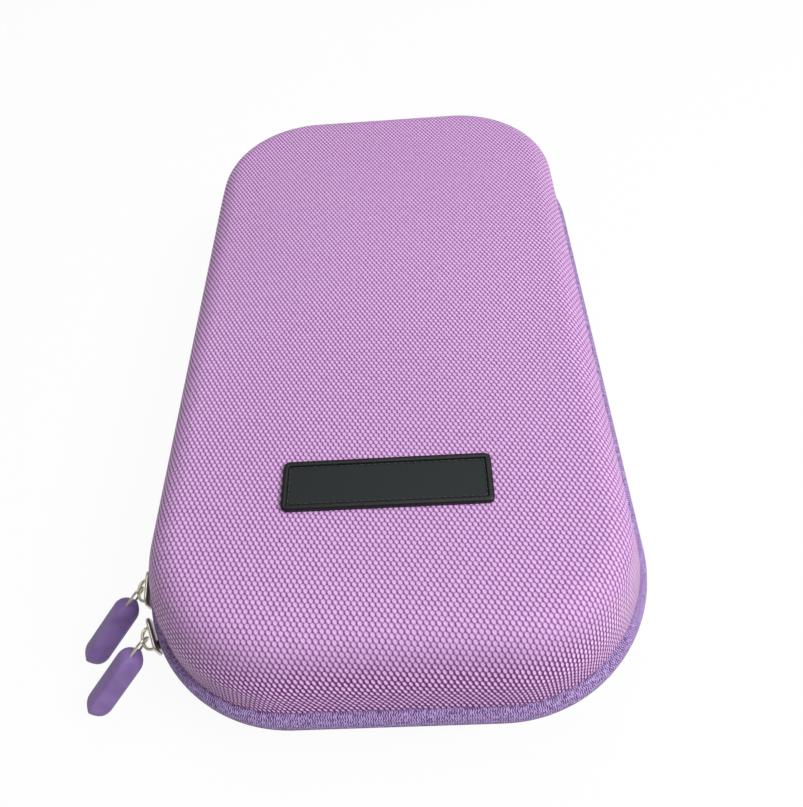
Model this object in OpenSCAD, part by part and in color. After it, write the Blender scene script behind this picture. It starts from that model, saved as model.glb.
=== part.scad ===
// Hard zip case for a stethoscope: two moulded shells, a zip round three sides, a fabric hinge on the fourth.
// X runs across the case, Y along it, Z up. The origin is the middle of the flat bottom.
// The hinge is on the left long side (-X). Both sliders are parked at its near end (-Y).

/* [Case] */
// Length over the zip band, along Y
body_l = 275; // [240:1:330]
// Width over the zip band, along X
body_w = 167; // [145:1:205]
// Height of the lid above the middle of the zip
lid_h = 36; // [30:1:48]
// Height of the middle of the zip above the table
base_h = 32; // [28:1:44]
// Corner radius of the outline, seen from above
corner_r = 52; // [46:1:60]
// Radius of the rounded shoulder between the walls and the flat top
lid_shoulder_r = 10.5; // [8:0.5:15]
// Radius of the shoulder between the walls and the flat bottom
base_shoulder_r = 12; // [10:0.5:18]
// Lean of the moulded walls, so that they leave the mould
wall_draft = 16.5; // [9:0.5:19]

/* [Laminate] */
// Thickness of the woven cover
cover_t = 0.8; // [0.5:0.1:1.2]
// Thickness of the moulded foam core
core_t = 3.4; // [2.4:0.1:5]
// Thickness of the lining
lining_t = 0.6; // [0.4:0.1:1]

/* [Zip] */
// Height of the whole zip band
band_h = 9.2; // [8.6:0.2:12]
// How far the rounded band bulges out of its root
band_bulge = 3; // [2.6:0.1:4]
// How far the band stands out past the foot of the wall
band_proud = 2.8; // [2:0.1:3]
// Thickness of the zip tape
tape_t = 1.2; // [0.8:0.1:1.4]
// Open slit between the two tapes
tape_gap = 0.9; // [0.8:0.1:1.2]
// Height to which a tape is sewn up the inside of its wall
sewn_h = 13; // [11:0.5:16]
// Depth of the zip coil behind its tape
coil_t = 1.7; // [1.2:0.1:2]
// Thickness of the binding over the seam
binding_t = 0.8; // [0.5:0.1:1.2]
// How far the binding reaches past the sewn edge
binding_over = 2; // [1:0.5:4]
// Turn of the near left corner that the closed end of the zip takes up
closed_end_turn = 36; // [36:0.5:40]
// Length of the closed end on the straight before that corner
closed_end_l = 6; // [5:0.5:12]

/* [Sliders] */
// Place of the far slider on the near left corner, as a turn from the corner's start
far_slider_turn = 7; // [6.5:0.5:7]
// Place of the near slider on the near left corner, as a turn from the corner's start
near_slider_turn = 25; // [25:0.5:27]
// Length of a slider along the zip
slider_l = 12.5; // [10:0.5:13]
// Width of a slider across the zip
slider_w = 8; // [7:0.5:9]
// Thickness of a slider's plates
slider_t = 1.1; // [0.8:0.1:1.4]
// Running clearance between a slider's plates and the zip
slider_clear = 0.45; // [0.4:0.05:0.6]
// Thickness of the post that joins a slider's plates through the slit
post_t = 0.5; // [0.3:0.05:0.6]
// Free height under a slider's bridge
bridge_gap = 2.8; // [2.6:0.1:3.4]
// Thickness of a slider's bridge
bridge_t = 0.9; // [0.7:0.1:1.2]
// Width of a slider's bridge across the zip
bridge_w = 1.6; // [1.4:0.1:1.8]

/* [Pulls] */
// Thickness of the wire in a pull's loop
wire_d = 0.9; // [0.8:0.1:1]
// Radius of the wire loop's bend, at the middle of the wire
loop_r = 2.3; // [2.2:0.1:2.8]
// Free length of a wire loop between the bridge and the grip
loop_l = 6.5; // [6.5:0.5:12]
// How deep the wire ends sit in the grip
wire_grip_depth = 4; // [3:0.5:6]
// Length of a grip
grip_l = 29; // [24:1:36]
// Width of a grip
grip_w = 10.6; // [9.5:0.1:12]
// Thickness of a grip
grip_t = 9; // [7:0.2:10]
// Width of the bevel along a grip's edges
grip_bevel = 3.2; // [2:0.1:4.4]
// How far a pull hangs below the level
pull_droop = 38; // [32:1:42]
// Direction of a hanging pull, seen from above
pull_heading = 217; // [210:1:225]
// Roll of a hanging pull about its own length
pull_roll = 20; // [0:1:25]

/* [Patch] */
// Length of the patch on the lid
patch_l = 65; // [50:1:74]
// Width of the patch on the lid
patch_w = 17; // [13:0.5:20]
// Thickness of the patch at its rim
patch_t = 1.8; // [1.2:0.1:2.4]
// Width of the raised rim of the patch
patch_rim = 1.9; // [1.4:0.1:3]
// Depth of the bare field inside the rim
patch_sunk = 0.7; // [0.4:0.1:1]
// Corner radius of the patch
patch_r = 2; // [1:0.1:3]
// Distance from the case's middle to the patch's middle, towards the near end
patch_y = 75; // [60:1:90]

/* [Inside] */
// Length of the net pocket from the near end of the lid
pocket_l = 165; // [120:5:180]
// Thickness of the net
net_t = 0.6; // [0.4:0.1:1]
// Spacing of the holes in the net
net_pitch = 9.6; // [9.6:0.2:14]
// Width of the net's strands
net_strand = 2.2; // [1.6:0.1:3]
// Width of the strip that holds the net's edge
net_edge_w = 7; // [5:0.5:9]
// Width of the elastic hem of the pocket
hem_w = 10; // [6:0.5:14]
// Thickness of the elastic hem
hem_t = 1.6; // [1.2:0.1:2]
// Depth of the net above the middle of the zip
net_z = 15.5; // [15.5:0.5:17]
// Width of the elastic strap in the base
strap_w = 38; // [20:1:60]
// Thickness of the elastic strap
strap_t = 1.4; // [0.8:0.1:2]
// Distance of the strap from the middle, towards the far end
strap_y = 20; // [-40:1:60]
// Length of the sewn tab at each end of the strap
tab_l = 14; // [10:1:20]

/* [Hidden] */

weave_colour = [0.79, 0.58, 0.82];
core_colour = [0.55, 0.45, 0.6];
lining_colour = [0.3, 0.28, 0.34];
tape_colour = [0.66, 0.57, 0.85];
coil_colour = [0.6, 0.5, 0.78];
binding_colour = [0.36, 0.3, 0.42];
net_colour = [0.25, 0.23, 0.28];
metal_colour = [0.78, 0.77, 0.7];
grip_colour = [0.5, 0.38, 0.68];
patch_colour = [0.14, 0.14, 0.15];

// The flat top starts this far in from the outline; the swept rim and the middle plate overlap by seam_lap
rim_in = corner_r - 6;
seam_lap = 6;
half_band = band_h / 2;
half_gap = tape_gap / 2;
wall_t = cover_t + core_t + lining_t;
arc_steps = 8;
fine_steps = 24;
// Hairline between layers that are sewn or bonded together
bond_gap = 0.05;
// Slit between the closed end of the zip and its neighbours
end_slit = 0.6;
// Play of a wire loop on its bridge
wire_play = 0.85;

// The outline is four straights and four quarter corners, turning left from the hinge side.
// A straight is its start, the way it faces and its length; a corner is its middle and the way it starts to face.
side_l = body_l - 2 * corner_r;
end_l = body_w - 2 * corner_r;
STRAIGHTS = [
    [[-body_w / 2, side_l / 2], 180, side_l],
    [[-end_l / 2, -body_l / 2], 270, end_l],
    [[body_w / 2, -side_l / 2], 0, side_l],
    [[end_l / 2, body_l / 2], 90, end_l]];
CORNERS = [
    [[-end_l / 2, -side_l / 2], 180],
    [[end_l / 2, -side_l / 2], 270],
    [[end_l / 2, side_l / 2], 0],
    [[-end_l / 2, side_l / 2], 90]];
near_left_c = CORNERS[0][0];

// Points of the outline, moved in by inset
function outline(inset) = [for (corner = CORNERS, i = [0:arc_steps])
    let (a = corner[1] + 90 * i / arc_steps)
    corner[0] + (corner_r - inset) * [cos(a), sin(a)]];

// Carries a section along a straight: its x is the distance out from the outline and its y is the height
module carry_straight(start, facing, l) {
    translate([start[0], start[1], 0])
        rotate([0, 0, facing])
            translate([0, l, 0])
                rotate([90, 0, 0])
                    linear_extrude(l)
                        children();
}
// Carries the same section round a corner; way -1 turns right instead of left
module carry_corner(middle, facing, turn, way) {
    translate([middle[0], middle[1], 0])
        rotate([0, 0, facing])
            scale([1, way, 1])
                rotate_extrude(angle = turn, $fn = 4 * arc_steps)
                    translate([corner_r, 0])
                        children();
}
// The whole way round
module carry_round() {
    for (s = STRAIGHTS)
        carry_straight(s[0], s[1], s[2]) children();
    for (c = CORNERS)
        carry_corner(c[0], c[1], 90, 1) children();
}
// The running zip: from the end of the closed end round three sides to the far end of the hinge
module carry_zip() {
    slit_turn = end_slit / corner_r * 180 / PI;
    carry_corner(near_left_c, 270, 90 - closed_end_turn - slit_turn, -1) children();
    for (i = [1:3]) {
        carry_straight(STRAIGHTS[i][0], STRAIGHTS[i][1], STRAIGHTS[i][2]) children();
        carry_corner(CORNERS[i][0], CORNERS[i][1], 90, 1) children();
    }
}
// The closed end: a short straight at the near end of the hinge and the first part of the corner
module carry_closed_end() {
    carry_straight([-body_w / 2, closed_end_l - side_l / 2], 180, closed_end_l) children();
    carry_corner(near_left_c, 180, closed_end_turn, 1) children();
}
// The hinge: the rest of the left side
module carry_hinge() {
    carry_straight(STRAIGHTS[0][0], 180, side_l - closed_end_l - end_slit) children();
}

// Section of the wall at depth t under the cover's face: foot, drafted wall, shoulder and flat
function wall_x(z, t) = -band_proud - (z - half_band) * tan(wall_draft) - t / cos(wall_draft);
function wall_path(h, r, t) =
    let (c = [wall_x(h - r, 0) - r / cos(wall_draft), h - r])
    concat([[wall_x(half_band, t), half_band]],
        [for (i = [0:arc_steps]) let (a = wall_draft + (90 - wall_draft) * i / arc_steps)
            c + (r - t) * [cos(a), sin(a)]],
        [[-rim_in, h - t]]);
function backwards(list) = [for (i = [len(list) - 1:-1:0]) list[i]];

// One layer of a moulded half, from depth t0 to t1, standing on the middle of the zip
module layer(h, r, t0, t1) {
    carry_round()
        polygon(concat(wall_path(h, r, t0), backwards(wall_path(h, r, t1))));
    translate([0, 0, h - t1])
        linear_extrude(t1 - t0)
            polygon(outline(rim_in - seam_lap));
}

// The upper half of the zip band: a nose that curves down to the slit, a flat under the wall and a sewn leg
function nose(t, turn) = [for (i = [0:arc_steps]) let (a = turn * i / arc_steps)
    [-band_bulge + (band_bulge - t) * cos(a), half_gap + (half_band - half_gap - t) * sin(a)]];
module tape_section() {
    polygon(concat(nose(0, 90),
        [for (p = [[half_band, 0], [sewn_h, 0], [sewn_h, tape_t], [half_band - tape_t, tape_t]])
            [wall_x(p[0], wall_t + bond_gap + p[1]), p[0]]],
        backwards(nose(tape_t, 90))));
}
// The closed end keeps only the nose, so that the lid leaves it behind as it opens
module closed_end_section() {
    polygon(concat(nose(0, 90), backwards(nose(tape_t, 90))));
}
module coil_section() {
    coil_turn = 34;
    back = nose(tape_t + bond_gap, coil_turn);
    top = back[len(back) - 1];
    inner_x = -tape_t - bond_gap - coil_t;
    polygon(concat(back, [[inner_x + 0.5, top[1]], [inner_x, top[1] - 0.5],
        [inner_x, half_gap + 0.3], [inner_x + 0.3, half_gap]]));
}
module binding_section() {
    depth = wall_t + tape_t + 2 * bond_gap;
    polygon([for (p = [[half_band - tape_t, 0], [sewn_h + binding_over, 0],
        [sewn_h + binding_over, binding_t], [half_band - tape_t, binding_t]])
        [wall_x(p[0], depth + p[1]), p[0]]]);
}

// Halves: everything is drawn standing on the middle of the zip, and the base hangs upside down from it
module in_lid() {
    translate([0, 0, base_h])
        children();
}
module in_base() {
    translate([0, 0, base_h])
        mirror([0, 0, 1])
            children();
}

module base_cover() {
    color(weave_colour) in_base() layer(base_h, base_shoulder_r, 0, cover_t);
}
module base_shell() {
    color(core_colour) in_base() layer(base_h, base_shoulder_r, cover_t, cover_t + core_t);
}
module base_lining() {
    color(lining_colour) in_base() layer(base_h, base_shoulder_r, cover_t + core_t, wall_t);
}
module base_zip_tape() {
    color(tape_colour) in_base() carry_zip() tape_section();
}
module base_zip_coil() {
    color(coil_colour) in_base() carry_zip() coil_section();
}
module base_binding() {
    color(binding_colour) in_base() carry_round() binding_section();
}
module base_hinge_leaf() {
    color(tape_colour) in_base() carry_hinge() tape_section();
}

// Elastic strap across the floor of the base, and the tabs that sew its ends down
strap_half = body_w / 2 - band_proud - wall_t - 26;
floor_z = wall_t;
module base_strap() {
    color(binding_colour)
        translate([-strap_half, strap_y - strap_w / 2, floor_z])
            cube([2 * strap_half, strap_w, strap_t]);
}
module strap_tabs() {
    color(lining_colour)
        for (side = [-1, 1])
            translate([side * (strap_half - tab_l / 2), strap_y, floor_z + strap_t])
                linear_extrude(strap_t)
                    polygon(rounded(tab_l, strap_w, 2));
}

// The closed end of the zip beside the hinge, where both tapes stay together under the parked sliders
module zip_closed_end() {
    color(tape_colour) {
        in_base() carry_closed_end() tape_section();
        in_lid() carry_closed_end() closed_end_section();
    }
}
module zip_end_coil() {
    color(coil_colour) {
        in_base() carry_closed_end() coil_section();
        in_lid() carry_closed_end() coil_section();
    }
}

module lid_cover() {
    color(weave_colour) in_lid() layer(lid_h, lid_shoulder_r, 0, cover_t);
}
module lid_shell() {
    color(core_colour) in_lid() layer(lid_h, lid_shoulder_r, cover_t, cover_t + core_t);
}
module lid_lining() {
    color(lining_colour) in_lid() layer(lid_h, lid_shoulder_r, cover_t + core_t, wall_t);
}
module lid_zip_tape() {
    color(tape_colour) in_lid() carry_zip() tape_section();
}
module lid_zip_coil() {
    color(coil_colour) in_lid() carry_zip() coil_section();
}
module lid_binding() {
    color(binding_colour) in_lid() carry_round() binding_section();
}
module lid_hinge_leaf() {
    color(tape_colour) in_lid() carry_hinge() tape_section();
}

// A rectangle with round corners, as points
function rounded(l, w, r) = [for (corner = [0:3], i = [0:arc_steps])
    let (a = corner * 90 + 90 * i / arc_steps, sx = corner == 0 || corner == 3 ? 1 : -1, sy = corner < 2 ? 1 : -1)
    [sx * (l / 2 - r) + r * cos(a), sy * (w / 2 - r) + r * sin(a)]];

// Soft moulded patch on the lid: a plate with a raised rim round a bare field
module lid_patch() {
    color(patch_colour)
        translate([0, -patch_y, base_h + lid_h])
            difference() {
                linear_extrude(patch_t)
                    polygon(rounded(patch_l, patch_w, patch_r));
                translate([0, 0, patch_t - patch_sunk])
                    linear_extrude(patch_t)
                        polygon(rounded(patch_l - 2 * patch_rim, patch_w - 2 * patch_rim, patch_r / 2));
            }
}

// Net pocket in the lid: the net hangs level below the lid's top, open towards the far end.
// A strip sews its three closed edges to the lining, and its free edge has an elastic hem.
net_inset = bond_gap - wall_x(net_z + hem_t, wall_t);
hem_y = -body_l / 2 + pocket_l;
near_y = -body_l / 2;
// The part of the lid's plan between two places along Y
module plan_stretch(inset, y0, y1) {
    intersection() {
        polygon(outline(inset));
        translate([-body_w / 2, y0])
            square([body_w, y1 - y0]);
    }
}
module pocket_edge() {
    color(binding_colour)
        translate([0, 0, base_h + net_z])
            linear_extrude(hem_t)
                difference() {
                    plan_stretch(net_inset, near_y, hem_y);
                    plan_stretch(net_inset + net_edge_w, near_y, hem_y + 1);
                }
}
module pocket_net() {
    color(net_colour)
        translate([0, 0, base_h + net_z])
            linear_extrude(net_t)
                difference() {
                    plan_stretch(net_inset + net_edge_w, near_y, hem_y - hem_w);
                    net_holes();
                }
}
// Holes in staggered rows, only those that lie wholly inside the net
module net_holes() {
    row_step = net_pitch * sin(60);
    rows = floor((pocket_l - hem_w) / row_step);
    columns = floor(body_w / net_pitch / 2);
    hole_r = (net_pitch - net_strand) / 2;
    margin = net_inset + net_edge_w + hole_r + net_strand / 2;
    for (row = [0:rows], column = [-columns:columns]) {
        x = (column + (row % 2) / 2) * net_pitch;
        y = hem_y - hem_w - hole_r - net_strand / 2 - row * row_step;
        if (inside_outline(x, y, margin))
            translate([x, y])
                circle(r = hole_r, $fn = 6);
    }
}
// True where a point lies at least margin inside the outline
function inside_outline(x, y, margin) =
    let (p = [abs(x), abs(y)])
    p[0] < body_w / 2 - margin
    && p[1] < body_l / 2 - margin
    && (p[0] < end_l / 2 || p[1] < side_l / 2 || norm(p + near_left_c) < corner_r - margin);
module pocket_hem() {
    color(binding_colour)
        translate([0, 0, base_h + net_z])
            linear_extrude(hem_t)
                plan_stretch(net_inset + net_edge_w, hem_y - hem_w, hem_y);
}

// Places a slider's frame: x out of the band, y along the zip, z up, on the near left corner
module on_corner(turn) {
    translate([near_left_c[0], near_left_c[1], base_h])
        rotate([0, 0, 180 + turn])
            translate([corner_r, 0, 0])
                children();
}
bridge_l = slider_l - 4;
plate_x = slider_clear;
rear_x = -tape_t - coil_t - slider_clear - 0.6;
module slider(way) {
    color(metal_colour) {
        translate([plate_x, 0, 0])
            rotate([90, 0, 90])
                linear_extrude(slider_t)
                    polygon(rounded(slider_l, slider_w, 2));
        translate([rear_x - slider_t, 0, 0])
            rotate([90, 0, 90])
                linear_extrude(slider_t)
                    polygon(rounded(slider_l, slider_w - 2.4, 2));
        translate([rear_x - slider_t / 2, way * (slider_l / 2 - 3) - 1.5, -post_t / 2])
            cube([plate_x - rear_x + slider_t, 3, post_t]);
        translate([plate_x + slider_t, 0, -bridge_w / 2])
            linear_extrude(bridge_w)
                difference() {
                    bridge_plan(bridge_gap + bridge_t, bridge_l / 2);
                    bridge_plan(bridge_gap, bridge_l / 2 - bridge_t);
                }
    }
}
// Half of an oval that bulges along x, with its flat side on the plate
module bridge_plan(height, half_l) {
    polygon([for (i = [0:fine_steps]) let (a = 180 * i / fine_steps - 90)
        [height * pow(cos(a), 0.6), half_l * sin(a)]]);
}
module far_slider() {
    on_corner(far_slider_turn) slider(-1);
}
module near_slider() {
    on_corner(near_slider_turn) slider(1);
}

// A pull's frame: x runs along the pull, away from the wire's bend, and the loop lies in the x-z plane.
// The pull turns on the middle of the bridge, and the bend of its wire lies behind that middle.
bridge_x = plate_x + slider_t + bridge_gap + bridge_t / 2;
bend_back = (bridge_t + wire_d) / 2 + wire_play;
module on_pull(turn) {
    on_corner(turn)
        translate([bridge_x, 0, 0])
            rotate([0, 0, pull_heading - 180 - turn])
                rotate([0, pull_droop, 0])
                    rotate([-pull_roll, 0, 0])
                        translate([-bend_back, 0, 0])
                            children();
}
// Wire loop: a half ring round the bridge and two straight legs into the grip
module pull_wire(turn) {
    color(metal_colour)
        on_pull(turn)
            translate([loop_r, 0, 0])
                rotate([90, 0, 0]) {
                    rotate([0, 0, 90])
                        rotate_extrude(angle = 180, $fn = 48)
                            translate([loop_r, 0])
                                circle(d = wire_d, $fn = 24);
                    for (side = [-1, 1])
                        translate([0, side * loop_r, 0])
                            rotate([0, 90, 0])
                                cylinder(d = wire_d, h = loop_l - loop_r + wire_grip_depth, $fn = 24);
                }
}
// Moulded grip: a long rounded bar whose edges are bevelled to a ridge all round
module grip_slice(inset, z, h) {
    translate([0, 0, z])
        linear_extrude(h)
            polygon(rounded(grip_l - 2 * inset, grip_w - 2 * inset, grip_w / 2 - inset - 0.01));
}
module pull_grip(turn) {
    ridge_h = 2.2;
    color(grip_colour)
        on_pull(turn)
            difference() {
                translate([loop_l + grip_l / 2, 0, 0])
                    rotate([90, 0, 0])
                        hull() {
                            grip_slice(0, -ridge_h / 2, ridge_h);
                            grip_slice(grip_bevel, -grip_t / 2, grip_t);
                        }
                for (side = [-1, 1])
                    translate([loop_l - 1, 0, side * loop_r])
                        rotate([0, 90, 0])
                            cylinder(d = wire_d, h = wire_grip_depth + 1, $fn = 24);
            }
}
module far_pull_wire() {
    pull_wire(far_slider_turn);
}
module near_pull_wire() {
    pull_wire(near_slider_turn);
}
module far_pull_grip() {
    pull_grip(far_slider_turn);
}
module near_pull_grip() {
    pull_grip(near_slider_turn);
}

base_cover();
base_shell();
base_lining();
base_zip_tape();
base_zip_coil();
base_binding();
base_hinge_leaf();
base_strap();
strap_tabs();
zip_closed_end();
zip_end_coil();
lid_cover();
lid_shell();
lid_lining();
lid_zip_tape();
lid_zip_coil();
lid_binding();
lid_hinge_leaf();
lid_patch();
pocket_net();
pocket_hem();
pocket_edge();
far_slider();
near_slider();
far_pull_wire();
near_pull_wire();
far_pull_grip();
near_pull_grip();
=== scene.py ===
import bmesh
import bpy
import numpy as np
from mathutils import Matrix


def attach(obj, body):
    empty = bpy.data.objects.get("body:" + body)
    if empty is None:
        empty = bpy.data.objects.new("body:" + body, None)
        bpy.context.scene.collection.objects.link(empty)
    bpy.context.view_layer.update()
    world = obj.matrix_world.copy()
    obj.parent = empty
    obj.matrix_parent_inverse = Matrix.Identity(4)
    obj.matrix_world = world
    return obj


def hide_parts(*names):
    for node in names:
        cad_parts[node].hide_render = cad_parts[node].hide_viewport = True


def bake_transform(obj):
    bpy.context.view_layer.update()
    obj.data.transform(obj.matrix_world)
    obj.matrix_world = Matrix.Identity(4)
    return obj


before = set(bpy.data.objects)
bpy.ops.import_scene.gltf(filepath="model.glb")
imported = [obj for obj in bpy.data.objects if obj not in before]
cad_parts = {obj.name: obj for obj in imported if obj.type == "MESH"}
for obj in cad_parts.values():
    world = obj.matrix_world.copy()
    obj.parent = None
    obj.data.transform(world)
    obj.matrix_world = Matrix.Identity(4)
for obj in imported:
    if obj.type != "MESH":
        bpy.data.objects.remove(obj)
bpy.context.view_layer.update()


# The view. A hand-held camera stands over the near end, a little to the right, and looks down along the case.
# The picture's width and the focal length are in pixels, the film's width in millimetres.
picture_width, focal_length, film_width = 803, 693, 36
eye = np.array([0.0142, -0.1800, 0.2555])
ahead = np.array([-0.03967, 0.58389, -0.81087])
right = np.array([0.99788, -0.0188, -0.06236])
ahead = ahead / np.linalg.norm(ahead)
down = np.cross(ahead, right)
down = down / np.linalg.norm(down)
right = np.cross(down, ahead)
camera_data = bpy.data.cameras.new("view")
camera_data.sensor_fit = "HORIZONTAL"
camera_data.sensor_width = film_width
camera_data.lens = film_width * focal_length / picture_width
camera_data.clip_start = 0.01
camera = bpy.data.objects.new("view", camera_data)
turned = np.eye(4)
turned[:3, 0], turned[:3, 1], turned[:3, 2], turned[:3, 3] = right, -down, -ahead, eye
camera.matrix_world = Matrix(turned.tolist())
bpy.context.scene.collection.objects.link(camera)
bpy.context.scene.camera = camera
bpy.context.scene.view_settings.view_transform = "Standard"


# The light. Daylight from above and from the right, as from a window, with pale surroundings that fill the
# shade. The second lamp is the softer light that comes off the ceiling.
def soft_lamp(name, place, target, size, energy):
    """A square area lamp at place, turned to face target."""
    data = bpy.data.lights.new(name, "AREA")
    data.shape = "SQUARE"
    data.size = size
    data.energy = energy
    lamp = bpy.data.objects.new(name, data)
    back = np.array(place, float) - np.array(target, float)
    back /= np.linalg.norm(back)
    across = np.cross([0.0, 1.0, 0.01], back)
    across /= np.linalg.norm(across)
    pose = np.eye(4)
    pose[:3, 0], pose[:3, 1], pose[:3, 2], pose[:3, 3] = across, np.cross(back, across), back, place
    lamp.matrix_world = Matrix(pose.tolist())
    bpy.context.scene.collection.objects.link(lamp)


soft_lamp("window", (0.65, -0.3, 0.9), (0, 0, 0.05), 0.45, 10.5)
soft_lamp("ceiling", (0.1, 0.3, 1.3), (0, 0, 0.05), 0.8, 5)


# Shader maths reads as ordinary expressions: a Value is one output of a node, and its operators add Math
# nodes. A Finish is one material on one Principled shader, whose constants stay on the shader's own sockets.
class Value:
    """One output of a node; + - * / with numbers or other values add Math nodes."""

    def __init__(self, finish, socket):
        self.finish = finish
        self.socket = socket

    def maths(self, operation, *others):
        """A Math node on this value and others; an operation that takes one value gets no others."""
        return self.finish.node("ShaderNodeMath", {"operation": operation}, dict(enumerate((self, *others))))

    def reflected(self, operation, other):
        """A Math node on a plain number and this value, in that order."""
        return self.finish.node("ShaderNodeMath", {"operation": operation}, {0: other, 1: self})

    def __add__(self, other):
        return self.maths("ADD", other)

    def __sub__(self, other):
        return self.maths("SUBTRACT", other)

    def __mul__(self, other):
        return self.maths("MULTIPLY", other)

    def __truediv__(self, other):
        return self.maths("DIVIDE", other)

    def __rsub__(self, other):
        return self.reflected("SUBTRACT", other)

    def __rtruediv__(self, other):
        return self.reflected("DIVIDE", other)

    __radd__ = __add__
    __rmul__ = __mul__

    def cos(self):
        return self.maths("COSINE")

    def part(self):
        return self.maths("FRACT")

    def size(self):
        return self.maths("ABSOLUTE")

    def step(self, low, high):
        """Rises smoothly from 0 at low to 1 at high."""
        return self.finish.node("ShaderNodeMapRange", {"interpolation_type": "SMOOTHSTEP"},
                                {0: self, 1: low, 2: high, 3: 0.0, 4: 1.0})


class Finish:
    """A material on one Principled shader."""

    def __init__(self, name, **constants):
        self.material = bpy.data.materials.new(name)
        self.material.use_nodes = True
        self.tree = self.material.node_tree
        self.shader = self.tree.nodes["Principled BSDF"]
        for key, value in constants.items():
            self.shader.inputs[key.replace("_", " ")].default_value = value

    def node(self, kind, settings=None, inlets=None, outlet=0):
        """Adds a node: its settings are set first, then the values or links of its sockets."""
        made = self.tree.nodes.new(kind)
        for key, value in (settings or {}).items():
            setattr(made, key, value)
        for key, value in (inlets or {}).items():
            if isinstance(value, Value):
                self.tree.links.new(value.socket, made.inputs[key])
            else:
                made.inputs[key].default_value = value
        return Value(self, made.outputs[outlet])

    def place(self):
        """X, Y and Z of the point in the object's own coordinates, and the whole vector."""
        where = self.node("ShaderNodeTexCoord", outlet="Object")
        split = (self.node("ShaderNodeSeparateXYZ", inlets={0: where}, outlet=k) for k in range(3))
        return *split, where

    def along(self):
        """The two distances of the piece's own map, in metres, and the whole vector."""
        where = self.node("ShaderNodeUVMap")
        split = (self.node("ShaderNodeSeparateXYZ", inlets={0: where}, outlet=k) for k in range(2))
        return *split, where

    def noise(self, where, scale, detail=2.0, stretch=(1, 1, 1)):
        """Soft noise from 0 to 1; a stretch above 1 packs it tighter along that axis."""
        at = self.node("ShaderNodeVectorMath", {"operation": "MULTIPLY"}, {0: where, 1: stretch})
        return self.node("ShaderNodeTexNoise", None, {"Vector": at, "Scale": scale, "Detail": detail})

    def mix(self, share, first, second):
        """A colour that goes from first to second as share goes from 0 to 1."""
        inlets = {0: share}
        for key, value in ((6, first), (7, second)):
            inlets[key] = value if isinstance(value, Value) else (*value, 1)
        return self.node("ShaderNodeMix", {"data_type": "RGBA"}, inlets, 2)

    def feed(self, **inlets):
        """Links values to sockets of the shader, with _ for a space in a socket's name."""
        for key, value in inlets.items():
            self.tree.links.new(value.socket, self.shader.inputs[key.replace("_", " ")])

    def bump(self, height, distance):
        """Relief that is distance metres deep, where height runs from 0 to 1."""
        relief = {"Height": height, "Distance": distance, "Strength": 1.0}
        self.feed(Normal=self.node("ShaderNodeBump", None, relief))


def tint(red, green, blue):
    """A screen colour, 0 to 255 a channel, as the linear light that a shader takes."""
    c = np.array([red, green, blue]) / 255
    return tuple(np.where(c <= 0.04045, c / 12.92, ((c + 0.055) / 1.055) ** 2.4))


# The table. A plain white floor that keeps a faint shadow; the rest of its white is its own, for the camera
# and for glossy reflections only.
floor_reach, floor_drop, floor_own_white, room_level = 3, 0.0003, 0.94, 0.28
floor_mesh = bpy.data.meshes.new("floor")
floor_corners = np.array([(-1, -1), (1, -1), (1, 1), (-1, 1)]) * floor_reach
floor_mesh.from_pydata([(*corner, -floor_drop) for corner in floor_corners], [], [(0, 1, 2, 3)])
floor = bpy.data.objects.new("floor", floor_mesh)
bpy.context.scene.collection.objects.link(floor)
paper = Finish("paper", Base_Color=(0.8, 0.8, 0.8, 1), Roughness=0.9)
paper.shader.inputs["Specular IOR Level"].default_value = 0.0
seen = (paper.node("ShaderNodeLightPath", outlet="Is Camera Ray")
        + paper.node("ShaderNodeLightPath", outlet="Is Glossy Ray"))
glow = paper.node("ShaderNodeEmission", None, {"Color": (1, 1, 1, 1), "Strength": 1.0})
blend = paper.node("ShaderNodeMixShader", None, {0: seen.maths("MINIMUM", 1.0) * floor_own_white})
paper.tree.links.new(paper.shader.outputs[0], blend.socket.node.inputs[1])
paper.tree.links.new(glow.socket, blend.socket.node.inputs[2])
paper.tree.links.new(blend.socket, paper.tree.nodes["Material Output"].inputs["Surface"])
floor_mesh.materials.append(paper.material)

world = bpy.data.worlds.new("room")
bpy.context.scene.world = world
world.use_nodes = True
sky = world.node_tree
air = sky.nodes["Background"]
air.inputs["Color"].default_value = (1, 1, 1, 1)
path = sky.nodes.new("ShaderNodeLightPath")
level = sky.nodes.new("ShaderNodeMapRange")
level.inputs["To Min"].default_value = room_level
level.inputs["To Max"].default_value = 1.0
sky.links.new(path.outputs["Is Camera Ray"], level.inputs["Value"])
sky.links.new(level.outputs["Result"], air.inputs["Strength"])


# Woven covers. One piece of plump woven cloth is moulded over each half: flat top, rounded shoulder and
# drafted wall. The flat cloth is pulled over the mould, so its threads run straight on onto the walls.
case_width, case_length, corner_radius = 0.167, 0.275, 0.052
zip_height, lid_height, base_height = 0.032, 0.036, 0.032
lid_shoulder, base_shoulder = 0.0105, 0.012
wall_draft = np.radians(16.5)
band_half, band_proud, cover_depth, wall_depth = 0.0046, 0.0028, 0.0008, 0.0048
foot_rise, foot_drop, foot_tuck, flat_gap = 0.0018, 0.0017, 0.0014, 0.006
fullness, cloth_stretch = 0.0016, 0.38


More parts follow.
